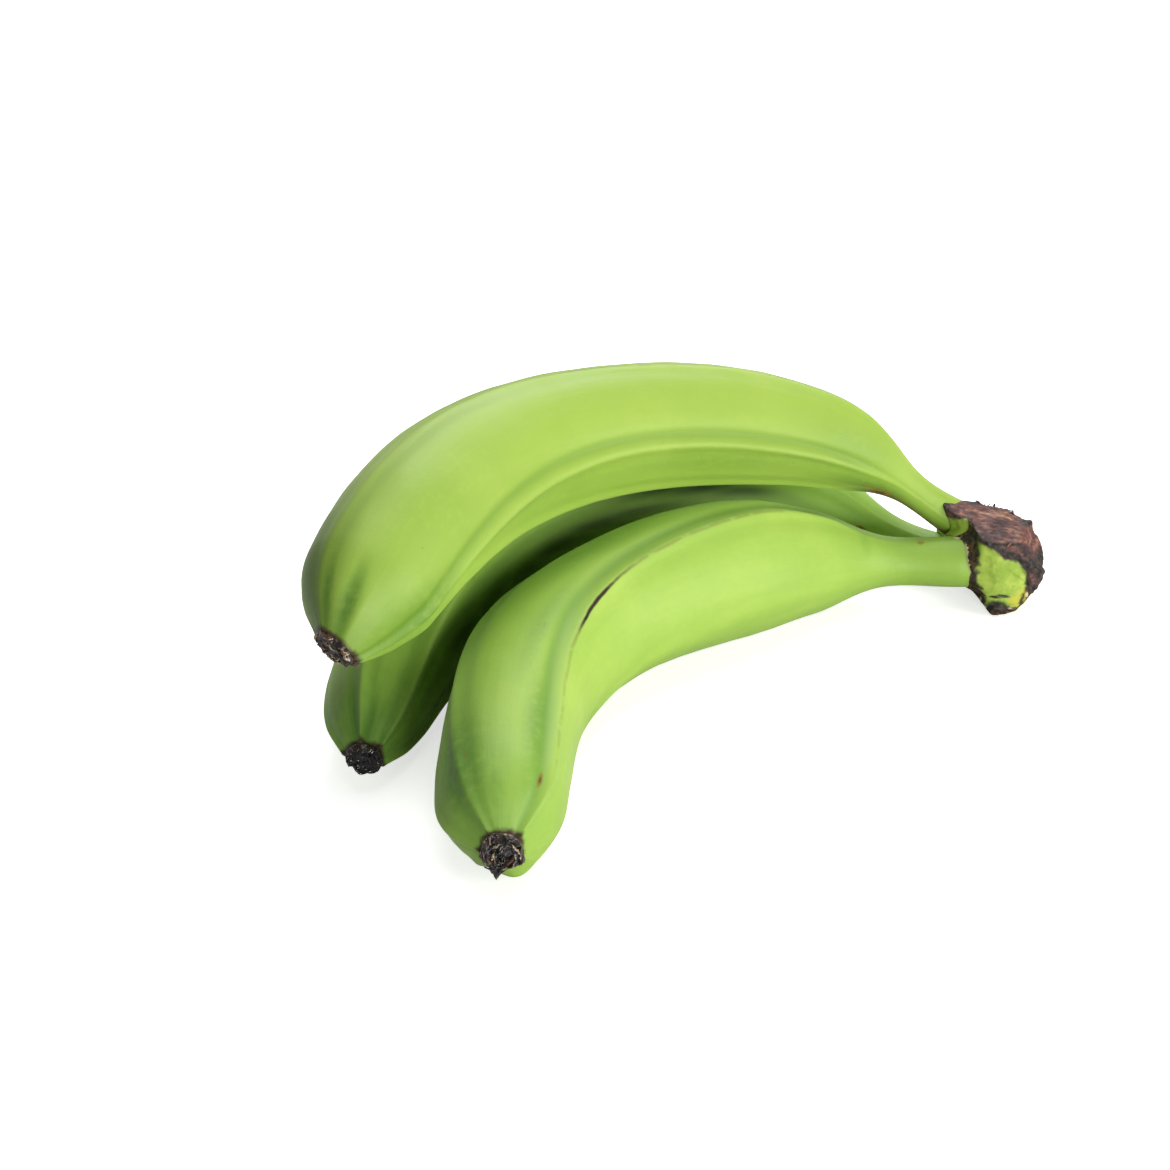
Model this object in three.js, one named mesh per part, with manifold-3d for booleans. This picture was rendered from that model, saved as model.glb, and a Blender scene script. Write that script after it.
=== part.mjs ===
// A bunch of three green bananas lying on its side, still joined at the cut crown.
// Millimetres, +Z up. Each finger is grown from the crown outwards: its heading says which way it
// goes, its girth how thick it is, and its ridges where the corners of its skin run.

import * as THREE from 'three';
import { mergeVertices } from 'three/addons/utils/BufferGeometryUtils.js';
import Module from 'manifold-3d';

const wasm = await Module();
wasm.setup();

const GAP = 0.35; // between pieces that touch
const BELLY = 0.4; // the two lower fingers are pressed flat to this height where they lie

// Shares of a finger's length, from the crown to the blossom end, where its values are given
const HEADING_AT = [0, 0.12, 0.27, 0.5, 0.75, 1];
const GIRTH_AT = [0, 0.1, 0.2, 0.32, 0.52, 0.75, 0.92, 0.965, 1];
const RIDGE_AT = [0.15, 0.5, 0.8, 1];

// start: middle of the stalk where it leaves the crown, from a point on the ground under the crown
// root: how far the stalk goes straight on into the crown
// turn: heading in degrees, from straight left towards the hollow side of the bend
// rise: heading in degrees above the level
// girth: radius of the section without its ridges
// ridges: where each ridge is, in degrees round the section from its top towards the hollow side
// firmness: how high each ridge stands, as a share of the full height
// grooveBefore, grooveAfter: how deep the groove on each side of each ridge is, as a share
// shoulder: where the skin swells forward beside the blossom end, as a share of the length and in
// degrees, how long and wide that is and how far it reaches, in millimetres
const FINGERS = {
  top: {
    start: [-1.3, -3.3, 17.6],
    root: 0,
    length: 219,
    turn: [1, 6, 7, 27, 61, 69],
    rise: [31, 38, 15, 3, -2, -28],
    girth: [5.4, 4.8, 11.1, 14.7, 16.7, 18, 15.9, 11.8, 5.5],
    ridges: [[92, 83, 94, 106], [150, 140, 122, 124], [215, 210, 200, 195], [285, 282, 270, 262], [370, 362, 346, 336]],
    firmness: [1, 0.8, 0.7, 0.6, 0.35],
    grooveBefore: [1.2, 0.5, 0.5, 0.5, 0.2],
    grooveAfter: [0.3, 0.5, 0.5, 0.3, 0.2],
    bellyFlat: false,
  },
  middle: {
    start: [-1.8, 0.2, 5.7],
    root: 4,
    length: 225.5,
    turn: [-23, -21.5, 12, 31.5, 66.5, 87],
    rise: [4, 14.5, 7, 0.5, -5, -10.5],
    girth: [5.6, 5.7, 13.3, 17.5, 19.5, 17.6, 12.5, 9.5, 4.7],
    ridges: [[30, 36, 42, 54], [105, 110, 115, 125], [180, 182, 186, 194], [255, 260, 265, 275], [328, 332, 342, 354]],
    firmness: [1, 1, 0.8, 0.8, 1],
    grooveBefore: [0.8, 0.6, 0.5, 0.5, 0.6],
    grooveAfter: [0.8, 0.6, 0.5, 0.5, 0.6],
    bellyFlat: true,
  },
  front: {
    start: [-6, -14, 12.7],
    root: 7,
    length: 200.5,
    turn: [-10, 8, 31, 38.5, 80.5, 93],
    rise: [-5.5, 4.5, 11, -4.5, -0.5, -8.5],
    girth: [6.8, 7, 14.1, 18.3, 18.1, 16.4, 14.7, 11.8, 4.7],
    ridges: [[12, 27, 47, 50], [85, 105, 130, 135], [160, 175, 200, 210], [225, 238, 255, 266], [280, 295, 310, 325]],
    firmness: [0.9, 0.1, 0.5, 0.5, 0.7],
    grooveBefore: [1.1, 0.1, 0.4, 0.4, 0.5],
    grooveAfter: [0.05, 0.1, 0.4, 0.4, 0.4],
    shoulder: { at: 0.963, towards: 167, long: 9.1, wide: 4.6, reach: 2.9 },
    bellyFlat: true,
  },
};

// The skin beside a ridge: the ridge stands up, a groove runs on each side, and the face sinks a little.
// The strength of all three grows and fades along the finger.
const RIDGE = { height: 0.9, width: 5, grooveDepth: 0.45, grooveAt: 13, grooveWidth: 6, faceSink: 0.7 };
const RIDGE_STRENGTH = { at: [0, 0.12, 0.24, 0.85, 1], share: [0.08, 0.15, 1, 1, 0.8] };
const SHOULDER_OUT = 0.5; // how far a shoulder goes sideways for each millimetre forward


const ROWS = 33; // along a finger
const STEPS_PER_ROW = 5; // of the sum that walks the middle line
const ROW_CROWDING = 0.06; // draws rows towards both ends
const FACE_STEP = 16; // degrees between the points on the face between two grooves

// The crown: two lumps grown together, each a rounded ball with flat cuts. A cut is the direction it
// faces and its distance from the middle of the crown.
const CROWN = {
  middle: [5, -8.5, 10],
  cuts: [
    { towards: [0.18, -0.04, 0.98], distance: 12.7 }, // where the hand was cut from the stem
    { towards: [0.83, -0.3, 0.47], distance: 12.2 }, // the dried shoulder of that cut
    { towards: [0.3, -0.95, 0.05], distance: 14 }, // where the next fingers were cut off
    { towards: [-0.35, -0.93, -0.08], distance: 14.8 }, // the rim beside it, in front of the stalks
    { towards: [0.11, 0.48, 0.86], distance: 13.8 },
    { towards: [0.66, 0.37, 0.65], distance: 12.3 },
    { towards: [1, 0.05, 0.08], distance: 12.8 },
    { towards: [0.94, -0.16, -0.29], distance: 11.9 },
    { towards: [0.76, -0.32, -0.57], distance: 12.5 },
    { towards: [0.27, -0.47, -0.84], distance: 14.4 },
    { towards: [0.1, 1, 0.1], distance: 13.5 },
    { towards: [0, 0, -1], distance: 9.3 }, // just clear of the ground
  ],
  lumps: [
    {
      radii: [15, 25, 19], // the body, which carries all three stalks
      cuts: [
        { towards: [-0.99, -0.05, -0.1], distance: 6.9 },
        { towards: [-0.93, -0.18, -0.33], distance: 7.6 },
      ],
    },
    {
      radii: [22, 22, 22], // the shoulder that reaches out along the top stalk
      cuts: [
        { towards: [-0.91, -0.2, -0.36], distance: 6.4 },
        { towards: [-0.5, -0.42, -0.75], distance: 1.9 },
        { towards: [-0.62, -0.776, 0.1], distance: 10.9 },
      ],
    },
  ],
  unevenness: 0.5, // how far the skin goes in and out
  detail: 9,
};

// The dried flower end: rings along its axis, as a height and a share of the finger's end radius
const BLOSSOM = {
  rings: [[0, 0.85], [0.5, 1], [1.3, 1], [1.9, 0.85], [2.1, 0.5]],
  around: 20,
  lobes: 0.07,
  lobeWidth: 18, // degrees
};

const BLOCK = 600; // the side of the blocks that flat cuts take away

const COLOURS = {
  skin: new THREE.Color(0.40, 0.62, 0.12),
  crown: new THREE.Color(0.13, 0.06, 0.045),
  blossom: new THREE.Color(0.035, 0.025, 0.018),
};

const radians = (degrees) => (degrees * Math.PI) / 180;

// A smooth curve through values given at stations: a cubic between each two, with the slope at a
// station taken from its two neighbours
function along(stations, values, at) {
  const last = stations.length - 1;
  const slope = (i) => {
    const before = Math.max(i - 1, 0);
    const after = Math.min(i + 1, last);
    return (values[after] - values[before]) / (stations[after] - stations[before]);
  };
  let i = 0;
  while (i < last - 1 && at >= stations[i + 1]) i += 1;
  const width = stations[i + 1] - stations[i];
  const t = (at - stations[i]) / width;
  const [t2, t3] = [t * t, t * t * t];
  return (2 * t3 - 3 * t2 + 1) * values[i] + (t3 - 2 * t2 + t) * width * slope(i)
    + (3 * t2 - 2 * t3) * values[i + 1] + (t3 - t2) * width * slope(i + 1);
}

function headingOf(finger, share) {
  const turn = radians(along(HEADING_AT, finger.turn, share));
  const rise = radians(along(HEADING_AT, finger.rise, share));
  return new THREE.Vector3(-Math.cos(turn) * Math.cos(rise), -Math.sin(turn) * Math.cos(rise), Math.sin(rise));
}

// The middle line with the two directions across it: one towards the hollow side, one upwards
function spineOf(finger) {
  const point = new THREE.Vector3(...finger.start);
  const spine = [];
  let share = 0;
  for (let row = 0; row <= ROWS; row += 1) {
    const even = row / ROWS;
    const next = even - ROW_CROWDING * Math.sin(2 * Math.PI * even);
    const step = (next - share) / STEPS_PER_ROW;
    for (let k = 0; k < STEPS_PER_ROW && row > 0; k += 1) {
      const heading = headingOf(finger, share + (k + 0.5) * step);
      point.addScaledVector(heading, step * finger.length);
    }
    share = next;
    const ahead = headingOf(finger, share);
    const hollow = new THREE.Vector3(0, 0, 1).cross(ahead).normalize();
    const above = ahead.clone().cross(hollow);
    spine.push({ share, point: point.clone(), ahead, hollow, above });
  }
  return spine;
}

const bell = (x) => Math.exp(-x * x);

// The degrees from one direction round the section to another, between -180 and 180
const turnPast = (from, angle) => ((angle - from + 540) % 360) - 180;

// How far the skin stands off the plain girth at an angle, for ridges at the given angles
function skinHeight(finger, angle, ridges) {
  let height = 0;
  ridges.forEach((ridge, i) => {
    const past = turnPast(ridge, angle);
    const before = finger.grooveBefore[i] * bell((past + RIDGE.grooveAt) / RIDGE.grooveWidth);
    const after = finger.grooveAfter[i] * bell((past - RIDGE.grooveAt) / RIDGE.grooveWidth);
    height += RIDGE.height * finger.firmness[i] * bell(past / RIDGE.width);
    height -= RIDGE.grooveDepth * (before + after);
    const next = (ridges[(i + 1) % ridges.length] - ridge + 360) % 360;
    const inFace = (angle - ridge + 360) % 360;
    if (inFace < next) height -= RIDGE.faceSink * Math.sin((Math.PI * inFace) / next) ** 2;
  });
  return height;
}

// How far the skin swells forward at an angle; it fades out again at the blossom end
function shoulderReach(finger, share, angle, girth) {
  if (!finger.shoulder) return 0;
  const { at, towards, long, wide, reach } = finger.shoulder;
  const lengthways = ((share - at) * finger.length) / long;
  const sideways = (radians(turnPast(towards, angle)) * girth) / wide;
  const left = Math.min((1 - share) / (1 - at), 1);
  return reach * bell(Math.hypot(lengthways, sideways)) * left * left * (3 - 2 * left);
}

// The angles of a section's points: on each ridge, at its foot, in its grooves and across the faces
function sectionAngles(finger, share) {
  const ridgesAt = (s) => finger.ridges.map((keys) => along(RIDGE_AT, keys, Math.max(s, RIDGE_AT[0])));
  const ridges = ridgesAt(share);
  const middle = ridgesAt(0.5);
  const angles = [];
  ridges.forEach((ridge, i) => {
    const wrap = i === ridges.length - 1 ? 360 : 0;
    const width = ridges[(i + 1) % ridges.length] + wrap - ridge;
    const middleWidth = middle[(i + 1) % ridges.length] + wrap - middle[i];
    const foot = Math.min(RIDGE.width, 0.17 * width);
    const groove = Math.min(RIDGE.grooveAt, 0.38 * width);
    const steps = Math.max(2, Math.round((middleWidth - 2 * RIDGE.grooveAt) / FACE_STEP));
    angles.push(ridge, ridge + foot);
    for (let k = 0; k <= steps; k += 1) angles.push(ridge + groove + (k / steps) * (width - 2 * groove));
    angles.push(ridge + width - foot);
  });
  return { ridges, angles };
}

// A closed surface from rings of points: quads between the rings and a fan at each end
function closedFromRings(rings, firstMiddle, lastMiddle) {
  const around = rings[0].length;
  const positions = rings.flat().flatMap((p) => [p.x, p.y, p.z]);
  const first = positions.length / 3;
  positions.push(firstMiddle.x, firstMiddle.y, firstMiddle.z, lastMiddle.x, lastMiddle.y, lastMiddle.z);
  const faces = [];
  for (let j = 0; j < around; j += 1) {
    const k = (j + 1) % around;
    for (let i = 0; i < rings.length - 1; i += 1) {
      const [a, b, c, d] = [i * around + j, i * around + k, (i + 1) * around + j, (i + 1) * around + k];
      faces.push(a, c, b, b, c, d);
    }
    const end = (rings.length - 1) * around;
    faces.push(first, j, k, first + 1, end + k, end + j);
  }
  const geometry = new THREE.BufferGeometry();
  geometry.setAttribute('position', new THREE.Float32BufferAttribute(positions, 3));
  geometry.setIndex(faces);
  return geometry;
}

// A finger's skin from its stalk to its blossom end; extra makes it thicker all round
function fingerGeometry(finger, extra = 0) {
  const spine = spineOf(finger);
  const rings = spine.map(({ share, point, ahead, hollow, above }) => {
    const girth = along(GIRTH_AT, finger.girth, share) + extra;
    const strength = along(RIDGE_STRENGTH.at, RIDGE_STRENGTH.share, share);
    const { ridges, angles } = sectionAngles(finger, share);
    return angles.map((angle) => {
      const forward = shoulderReach(finger, share, angle, girth);
      const radius = girth + strength * skinHeight(finger, angle, ridges) + SHOULDER_OUT * forward;
      return point.clone()
        .addScaledVector(ahead, forward)
        .addScaledVector(above, radius * Math.cos(radians(angle)))
        .addScaledVector(hollow, radius * Math.sin(radians(angle)));
    });
  });
  const [base, tip] = [spine[0], spine[ROWS]];
  const intoCrown = (p) => p.clone().addScaledVector(base.ahead, -finger.root - extra);
  const rootRing = rings[0].map(intoCrown);
  return closedFromRings([rootRing, ...rings], intoCrown(base.point), tip.point);
}

// The dried flower at the end of a finger: a lobed plug, a gap beyond the skin
function blossomGeometry(finger) {
  const tip = spineOf(finger)[ROWS];
  const endRadius = finger.girth[finger.girth.length - 1];
  const centre = (height) => tip.point.clone().addScaledVector(tip.ahead, GAP + height);
  const { ridges } = sectionAngles(finger, 1);
  const rings = BLOSSOM.rings.map(([height, share]) => {
    const ring = [];
    for (let k = 0; k < BLOSSOM.around; k += 1) {
      const angle = (360 * k) / BLOSSOM.around;
      const nearRidge = Math.max(...ridges.map((r) => bell(turnPast(r, angle) / BLOSSOM.lobeWidth)));
      const radius = endRadius * share * (1 - BLOSSOM.lobes + 2 * BLOSSOM.lobes * nearRidge);
      ring.push(centre(height)
        .addScaledVector(tip.above, radius * Math.cos(radians(angle)))
        .addScaledVector(tip.hollow, radius * Math.sin(radians(angle))));
    }
    return ring;
  });
  const top = BLOSSOM.rings[BLOSSOM.rings.length - 1][0];
  return closedFromRings(rings, centre(0), centre(top));
}

// A closed mesh with nothing but positions, its shared corners merged
function bare(geometry) {
  geometry.deleteAttribute('normal');
  geometry.deleteAttribute('uv');
  return mergeVertices(geometry);
}

function toSolid(geometry) {
  return new wasm.Manifold(new wasm.Mesh({
    numProp: 3,
    vertProperties: new Float32Array(geometry.getAttribute('position').array),
    triVerts: new Uint32Array(geometry.getIndex().array),
  }));
}

function toGeometry(solid) {
  const mesh = solid.getMesh();
  const geometry = new THREE.BufferGeometry();
  geometry.setAttribute('position', new THREE.Float32BufferAttribute(mesh.vertProperties, 3));
  geometry.setIndex(Array.from(mesh.triVerts));
  return geometry;
}

// Everything beyond a flat cut: a block that starts at a distance from a point, in some direction
function beyond(point, towards, distance) {
  const block = new THREE.BoxGeometry(BLOCK, BLOCK, BLOCK);
  const outwards = new THREE.Vector3(...towards).normalize();
  block.translate(0, 0, BLOCK / 2 + distance);
  block.applyQuaternion(new THREE.Quaternion().setFromUnitVectors(new THREE.Vector3(0, 0, 1), outwards));
  block.translate(...point);
  return toSolid(bare(block));
}

// One lump of the crown: a ball with an uneven skin, less what its cuts take off
function crownLump({ radii, cuts }) {
  const ball = bare(new THREE.IcosahedronGeometry(1, CROWN.detail));
  const position = ball.getAttribute('position');
  const point = new THREE.Vector3();
  for (let i = 0; i < position.count; i += 1) {
    const { x, y, z } = point.fromBufferAttribute(position, i).normalize();
    const reach = 1 / Math.hypot(x / radii[0], y / radii[1], z / radii[2])
      + CROWN.unevenness * Math.sin(5 * x + 2) * Math.sin(6 * y + 1) * Math.sin(5 * z);
    point.multiplyScalar(reach).add(new THREE.Vector3(...CROWN.middle));
    position.setXYZ(i, point.x, point.y, point.z);
  }
  return [...CROWN.cuts, ...cuts].reduce(
    (lump, { towards, distance }) => lump.subtract(beyond(CROWN.middle, towards, distance)),
    toSolid(ball),
  );
}

function named(name, geometry, colour, roughness) {
  geometry.computeVertexNormals();
  const material = new THREE.MeshStandardMaterial({ color: colour, roughness, metalness: 0 });
  const mesh = new THREE.Mesh(geometry, material);
  mesh.name = name;
  return mesh;
}

const bunch = new THREE.Group();
let crown = CROWN.lumps.map(crownLump).reduce((whole, lump) => whole.add(lump));
for (const [place, finger] of Object.entries(FINGERS)) {
  let skin = toSolid(fingerGeometry(finger));
  if (finger.bellyFlat) skin = skin.subtract(beyond([0, 0, BELLY], [0, 0, -1], 0));
  bunch.add(named(`banana_${place}`, toGeometry(skin), COLOURS.skin, 0.5));
  bunch.add(named(`blossom_tip_${place}`, blossomGeometry(finger), COLOURS.blossom, 0.85));
  crown = crown.subtract(toSolid(fingerGeometry(finger, GAP)));
}
bunch.add(named('crown', toGeometry(crown), COLOURS.crown, 0.9));

// The origin goes under the middle of the bunch, on the surface that it lies on
const box = new THREE.Box3().setFromObject(bunch);
const middle = box.getCenter(new THREE.Vector3());
bunch.position.set(-middle.x, -middle.y, -box.min.z);

export default bunch;
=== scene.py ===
import bpy
import numpy as np
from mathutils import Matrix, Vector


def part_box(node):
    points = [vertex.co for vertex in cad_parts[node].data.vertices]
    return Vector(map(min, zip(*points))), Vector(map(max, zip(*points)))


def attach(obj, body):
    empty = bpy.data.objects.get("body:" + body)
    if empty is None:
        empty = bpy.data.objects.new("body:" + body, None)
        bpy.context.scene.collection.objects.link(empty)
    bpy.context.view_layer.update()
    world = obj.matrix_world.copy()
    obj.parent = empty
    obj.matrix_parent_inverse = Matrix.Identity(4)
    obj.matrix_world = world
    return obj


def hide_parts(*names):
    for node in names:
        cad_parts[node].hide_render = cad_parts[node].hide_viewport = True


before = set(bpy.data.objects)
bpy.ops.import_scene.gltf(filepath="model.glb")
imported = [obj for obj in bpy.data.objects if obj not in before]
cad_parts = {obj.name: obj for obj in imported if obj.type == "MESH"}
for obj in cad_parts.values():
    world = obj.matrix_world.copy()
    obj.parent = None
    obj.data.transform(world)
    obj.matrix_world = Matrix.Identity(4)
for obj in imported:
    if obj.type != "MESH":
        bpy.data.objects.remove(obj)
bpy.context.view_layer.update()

# A bunch of three green bananas. Shapes are worked out in millimetres from a point on the ground
# under the crown, then moved into the frame, which is in metres.
mm = 0.001


def colour(red, green, blue):
    # a colour as a screen shows it, from 0 to 255, turned into the linear one that shaders want
    screen = np.array([red, green, blue]) / 255
    linear = np.where(screen <= 0.04045, screen / 12.92, ((screen + 0.055) / 1.055) ** 2.4)
    return (*linear.tolist(), 1.0)


def bell(x):
    # 1 at 0, falling smoothly to nothing on both sides
    return np.exp(-x * x)


def fade(x, low, high):
    # 0 below low, 1 above high, and a smooth rise between them
    t = np.clip((x - low) / (high - low), 0, 1)
    return t * t * (3 - 2 * t)


def alongCurve(stations, values, share):
    # a cubic between each two stations, whose slope at a station is the slope between its neighbours
    stations = np.asarray(stations, float)
    values = np.asarray(values, float)
    last = len(stations) - 1
    before = np.maximum(np.arange(last + 1) - 1, 0)
    after = np.minimum(np.arange(last + 1) + 1, last)
    slopes = (values[after] - values[before]) / (stations[after] - stations[before])
    i = np.clip(np.searchsorted(stations, share, side="right") - 1, 0, last - 1)
    width = stations[i + 1] - stations[i]
    t = (share - stations[i]) / width
    rise = t * t * (3 - 2 * t)
    bends = (t**3 - 2 * t**2 + t) * slopes[i] + (t**3 - t**2) * slopes[i + 1]
    return values[i] * (1 - rise) + values[i + 1] * rise + width * bends


def lumps(points, size, seed):
    # random values from -1 to 1 at the corners of a lattice of cubes, blended smoothly between them
    table = np.random.default_rng(seed).uniform(-1, 1, (32, 32, 32))
    place = points / size + 1000.0
    cell = np.floor(place).astype(int)
    t = place - cell
    t = t * t * (3 - 2 * t)
    total = np.zeros(points.shape[:-1])
    for corner in np.ndindex(2, 2, 2):
        i = (cell + corner) % 32
        weight = np.prod(np.where(corner, t, 1 - t), axis=-1)
        total += weight * table[i[..., 0], i[..., 1], i[..., 2]]
    return total


def layered(points, layers, seed, step=1):
    # the sum of lumps of several sizes, each given by its width and its height
    return sum(high * lumps(points, wide, seed + i * step) for i, (wide, high) in enumerate(layers))


def makePiece(name, shells):
    # joins closed shells in one mesh. A shell is a grid of points, rows by columns, whose columns
    # close on themselves, with one point that closes each end and named values at its points
    points, corners, sizes = [], [], []
    values = {key: [] for key in shells[0]["values"]}
    start = 0
    for shell in shells:
        grid = shell["grid"]
        rows, columns = grid.shape[:2]
        index = np.arange(rows * columns).reshape(rows, columns)
        beside = np.roll(index, -1, axis=1)
        quads = np.stack([index[:-1], index[1:], beside[1:], beside[:-1]], -1).reshape(-1, 4)
        first = np.full(columns, rows * columns)
        fans = np.concatenate([
            np.stack([first, index[0], beside[0]], -1),
            np.stack([first + 1, beside[-1], index[-1]], -1),
        ])
        allPoints = np.concatenate([grid.reshape(-1, 3), [shell["first"], shell["last"]]])
        halves = np.concatenate([quads[:, [0, 1, 2]], quads[:, [0, 2, 3]], fans])
        a, b, c = (allPoints[halves[:, k]] - allPoints[0] for k in range(3))
        if np.einsum("ij,ij->", np.cross(a, b), c) < 0:  # turned inside out
            quads, fans = quads[:, ::-1], fans[:, ::-1]
        corners += [quads.ravel() + start, fans.ravel() + start]
        sizes += [np.full(len(quads), 4), np.full(len(fans), 3)]
        points.append(allPoints)
        for key, value in shell["values"].items():
            value = np.broadcast_to(value, (rows, columns))
            values[key].append(np.concatenate([value.ravel(), [value[0].mean(), value[-1].mean()]]))
        start += len(allPoints)
    points = (np.concatenate(points) + place) * mm
    corners = np.concatenate(corners).astype(np.int32)
    sizes = np.concatenate(sizes)
    mesh = bpy.data.meshes.new(name)
    mesh.vertices.add(len(points))
    mesh.vertices.foreach_set("co", points.astype(np.float32).ravel())
    mesh.loops.add(len(corners))
    mesh.loops.foreach_set("vertex_index", corners)
    mesh.polygons.add(len(sizes))
    mesh.polygons.foreach_set("loop_start", (np.cumsum(sizes) - sizes).astype(np.int32))
    mesh.polygons.foreach_set("use_smooth", np.ones(len(sizes), bool))
    mesh.update(calc_edges=True)
    for key, value in values.items():
        layer = mesh.attributes.new(key, "FLOAT", "POINT")
        layer.data.foreach_set("value", np.concatenate(value).astype(np.float32))
    made = bpy.data.objects.new(name, mesh)
    bpy.context.scene.collection.objects.link(made)
    print(f"{name}: {int((sizes - 2).sum())} triangles")
    return made


def finishPiece(made, node, material):
    made.data.materials.append(material)
    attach(made, "root")
    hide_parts(node)


# Shader helpers: a value is a socket to link or a plain value to set
def addNode(tree, kind, values=None, **settings):
    node = tree.nodes.new("ShaderNode" + kind)
    for key, value in settings.items():
        setattr(node, key, value)
    for key, value in (values or {}).items():
        if isinstance(value, bpy.types.NodeSocket):
            tree.links.new(value, node.inputs[key])
        else:
            node.inputs[key].default_value = value
    return node


def mixed(tree, factor, first, second):
    # from the first colour to the second
    return addNode(tree, "Mix", {0: factor, 6: first, 7: second}, data_type="RGBA").outputs[2]


def worked(tree, operation, first, second=0.0):
    return addNode(tree, "Math", {0: first, 1: second}, operation=operation).outputs[0]


def ramped(tree, value, low, high, fromValue=0.0, toValue=1.0):
    values = {"Value": value, "From Min": low, "From Max": high, "To Min": fromValue, "To Max": toValue}
    return addNode(tree, "MapRange", values, interpolation_type="SMOOTHSTEP").outputs["Result"]


def cloud(tree, where, scale, detail, roughness=0.5, twist=0.0):
    values = {"Vector": where, "Scale": scale, "Detail": detail, "Roughness": roughness}
    values["Distortion"] = twist
    return addNode(tree, "TexNoise", values).outputs["Fac"]


def valueOf(tree, name):
    return addNode(tree, "Attribute", attribute_name=name).outputs["Fac"]


def swayed(tree, value, pattern, amount):
    # a value raised and lowered by a pattern that swings round one half
    swing = worked(tree, "MULTIPLY", worked(tree, "SUBTRACT", pattern, 0.5), amount)
    return worked(tree, "ADD", value, swing)


def colourRamp(tree, value, stops):
    # a stop is a position and its colour
    node = addNode(tree, "ValToRGB", {"Fac": value})
    elements = node.color_ramp.elements
    for i, (position, shade) in enumerate(stops):
        if i < 2:
            elements[i].position = position
            elements[i].color = shade
        else:
            elements.new(position).color = shade
    return node.outputs["Color"]


def newGroup(name, inputs, outputs):
    # a node group with its named sockets, and the nodes that stand for them inside it
    group = bpy.data.node_groups.new(name, "ShaderNodeTree")
    for inOut, sockets in (("INPUT", inputs), ("OUTPUT", outputs)):
        for socketName, kind in sockets.items():
            group.interface.new_socket(socketName, in_out=inOut, socket_type="NodeSocket" + kind)
    entry = group.nodes.new("NodeGroupInput")
    leave = group.nodes.new("NodeGroupOutput")
    return group, entry.outputs, leave.inputs


def useGroup(tree, group, values):
    return addNode(tree, "Group", values, node_tree=group).outputs


# The bananas. Shares of a banana's length, from the crown to the blossom end, where its values are given
headingAt = [0, 0.12, 0.27, 0.5, 0.75, 1]
girthAt = [0, 0.1, 0.2, 0.32, 0.52, 0.75, 0.92, 0.965, 1]
ridgeAt = [0.15, 0.5, 0.8, 1]

peel = dict(
    rows=380,
    columnsPerFace=40,
    rowCrowding=0.06,  # draws rows towards both ends
    columnCrowding=0.09,  # draws columns towards the ridges
    lineSteps=2000,  # short steps along the heading that the middle line is summed from
    ridgeHeight=0.9,
    ridgeWidth=5,  # degrees
    grooveDepth=0.45,
    faceSink=0.7,
    strengthAt=[0, 0.12, 0.24, 0.85, 1],  # how strong ridges are along the length
    strength=[0.08, 0.15, 1, 1, 0.8],
    swellings=[(17, 0.28), (6, 0.1)],  # how wide and how high the skin's unevenness is
    leanFrom=0.94,  # the share of the length where the blossom end starts to lean
    lobeOutward=0.5,  # a lobe at the end grows ahead, and this much of that outward
    lobeFull=0.963,  # it is full up to here and gone at the end
    rollRadius=0.8,  # of the skin's lip round the blossom end
    rollDepth=0.6,
    rollSteps=5,
    lipInside=[(0.6, 0.3), (0.3, 0.2)],  # inside the lip: a share of the end's radius, and how far ahead
    belly=0.4,  # the lower bananas are pressed flat to this height
    seed=11,
)


def headingOf(banana, share):
    turn = np.radians(alongCurve(headingAt, banana["turn"], share))
    rise = np.radians(alongCurve(headingAt, banana["rise"], share))
    return np.stack([-np.cos(turn) * np.cos(rise), -np.sin(turn) * np.cos(rise), np.sin(rise)], -1)


def middleLine(banana, share):
    # the start plus the sum of many short steps along the heading, with the two directions across it
    fine = np.linspace(0, 1, peel["lineSteps"] + 1)
    steps = headingOf(banana, (fine[1:] + fine[:-1]) / 2) * banana["length"] / peel["lineSteps"]
    line = np.concatenate([[banana["start"]], banana["start"] + np.cumsum(steps, 0)])
    points = np.stack([np.interp(share, fine, line[:, k]) for k in range(3)], -1)
    ahead = headingOf(banana, share)
    hollow = np.cross([0, 0, 1], ahead)
    hollow /= np.linalg.norm(hollow, axis=-1, keepdims=True)
    return points, ahead, hollow, np.cross(ahead, hollow)


def spotsOf(banana, share, angle, girth):
    # for each kind of spot, the largest bell at each point: a bell of the distance from the spot's
    # middle, counted in its own length along the fruit and in its own width round it
    found = {}
    for kind in ("brown", "shade", "paintedShadow", "dent", "lobe"):
        found[kind] = np.zeros_like(angle)
        for at, degrees, long, wide, amount in banana["spots"].get(kind, []):
            along = (share[:, None] - at) * banana["length"] / long
            aside = np.radians((angle - degrees + 540) % 360 - 180) * girth / wide
            found[kind] = np.maximum(found[kind], amount * bell(np.hypot(along, aside)))
    return found


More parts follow.
